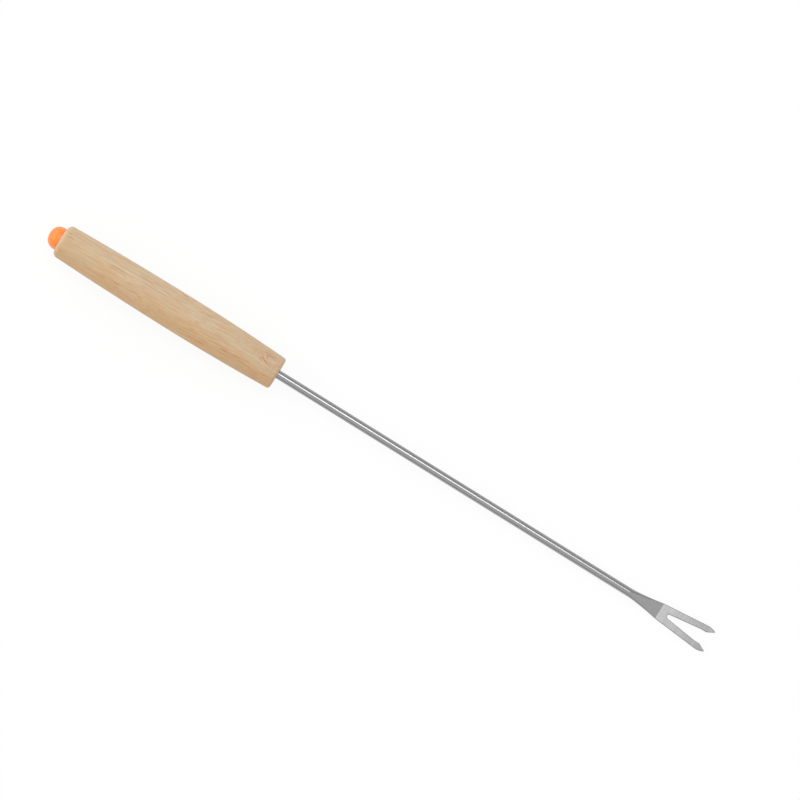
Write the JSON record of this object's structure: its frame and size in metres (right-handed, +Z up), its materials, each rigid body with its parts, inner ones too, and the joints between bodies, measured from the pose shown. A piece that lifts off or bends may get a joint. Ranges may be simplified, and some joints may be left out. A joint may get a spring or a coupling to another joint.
{
  "type": "fondue fork",
  "caption": "Long slender fork for dipping food in a fondue pot: steel wire flattened into barbed tines, a turned wooden barrel handle and a coloured plastic dome in its butt.",
  "frame": {"origin": "on the table, under the middle of the fork's length, as it lies at rest on the belly of its handle and the points of its tines", "axes": "+Z up from the table; +X from the butt of the handle to the tines; the fork's own axis dips 1.779 degrees towards the tines; the blade's broad faces look up and down, and XZ is the plane of symmetry"},
  "size_m": [0.2598, 0.0134, 0.0144],
  "materials": {
    "handle_wood": "pale fine-pored hardwood, turned and sanded, thin matt clear coat",
    "wire_steel": "drawn stainless wire with a satin polish; blade ground across its width",
    "cap_plastic": "moulded orange plastic, soft gloss"
  },
  "bodies": {
    "root": {"wooden_handle": "handle_wood", "steel_fork": "wire_steel", "colour_cap": "cap_plastic"}
  },
  "joints": []
}
